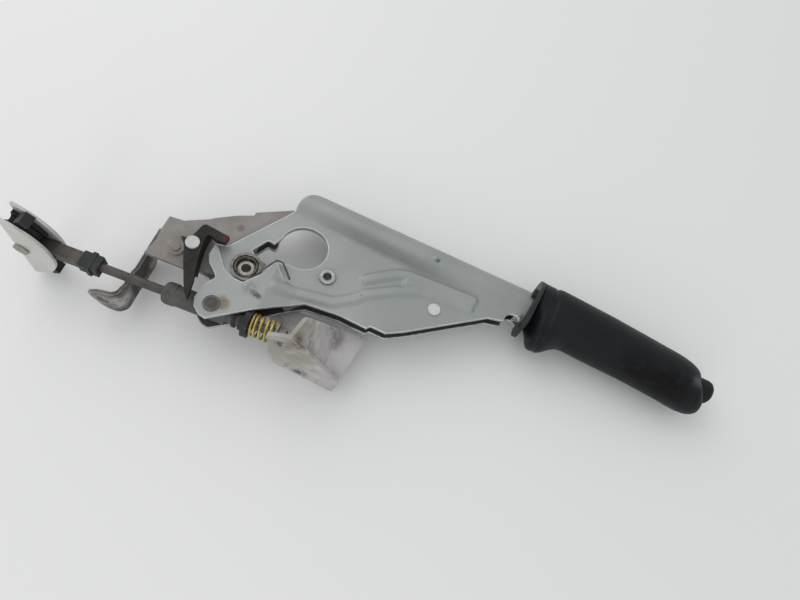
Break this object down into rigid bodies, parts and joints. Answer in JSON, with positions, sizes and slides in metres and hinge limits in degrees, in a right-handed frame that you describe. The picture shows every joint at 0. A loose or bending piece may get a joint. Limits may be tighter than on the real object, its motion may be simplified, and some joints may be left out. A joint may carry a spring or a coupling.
{
  "type": "parking brake lever",
  "caption": "Hand-operated parking brake lever: pressed arm with grip and release button, ratchet plate, folded bracket, sprung pull rod and half-moon cable equaliser.",
  "frame": {"origin": "on the lever's pivot axis, in the mid-plane of the lever", "axes": "+X forward along the pull rod towards the grip, +Y up in the car, +Z out of the visible side plate along the pivot axis"},
  "size_m": [0.475, 0.1225, 0.0726],
  "materials": {
    "plate": "zinc-plated pressed sheet, bluish grey, satin",
    "bracket": "brownish grey weathered sheet, scratched",
    "bright": "bright rivet heads and pins",
    "dark": "dark phosphated steel",
    "steel": "plain grey steel",
    "rod": "dull brown-grey steel rod",
    "gold": "yellow-passivated spring wire",
    "grip": "black soft plastic, slightly glossy",
    "black": "black plastic",
    "pale": "pale zinc-plated plate"
  },
  "bodies": {
    "bracket": {"base_bracket": "bracket", "sector_plate": "bracket", "hook_rivet": "bright", "spacer_rivet": "steel", "pivot_bush": "steel", "pivot_washers": "steel"},
    "lever": {"lever_shell": "plate", "pivot_cup": "steel", "return_spring": "steel", "pawl_rivet": "bright", "guide_rivet": "bright", "guide_spacer": "steel", "grip": "grip", "grip_collar": "black", "rod_guide": "black"},
    "pawl": {"pawl": "steel"},
    "button": {"release_button": "black", "push_rod": "steel", "button_spring": "steel"},
    "hook": {"adjuster_hook": "dark"},
    "adjuster": {"adjuster_housing": "dark", "spring_seat": "black", "seat_ring": "bright"},
    "rod": {"pull_rod": "rod", "end_nut": "steel", "end_washer": "steel", "rod_clip": "black", "take_up_spring": "gold"},
    "equaliser": {"equaliser_upper_plate": "pale", "equaliser_lower_plate": "pale", "cable_guide": "black", "equaliser_pin": "steel"}
  },
  "joints": [
    {"name": "lever_pull", "type": "hinge", "parent": "bracket", "child": "lever", "pos_m": [0, 0, 0], "axis": [0, 0, 1], "range_deg": [0, 32]},
    {"name": "trunnion_swing", "type": "hinge", "parent": "lever", "child": "adjuster", "pos_m": [-0.008, -0.034, 0], "axis": [0, 0, 1], "range_deg": [-32, 0]},
    {"name": "take_up", "type": "slide", "parent": "adjuster", "child": "rod", "axis": [1, 0, 0], "range_m": [-0.006, 0], "stiffness_N_per_m": 3000, "deforming": ["take_up_spring"]},
    {"name": "button_press", "type": "slide", "parent": "lever", "child": "button", "axis": [-0.9972, 0.075, 0], "range_m": [0, 0.005], "stiffness_N_per_m": 400, "deforming": ["button_spring"]},
    {"name": "pawl_lift", "type": "hinge", "parent": "lever", "child": "pawl", "pos_m": [0.0522, 0.0143, 0], "axis": [0, 0, 1], "range_deg": [0, 11.2]},
    {"name": "hook_swing", "type": "hinge", "parent": "bracket", "child": "hook", "pos_m": [-0.0359, -0.0015, 0], "axis": [0, 0, 1], "range_deg": [0, 8], "stiffness_Nm_per_rad": 0.4},
    {"name": "equaliser_swing", "type": "hinge", "parent": "rod", "child": "equaliser", "pos_m": [-0.135, -0.034, 0], "axis": [0, 1, 0], "range_deg": [-12, 12]}
  ],
  "couplings": [
    {"joint": "trunnion_swing", "follows": "lever_pull", "ratio": -1},
    {"joint": "pawl_lift", "follows": "button_press", "rad_per_m": 38}
  ]
}
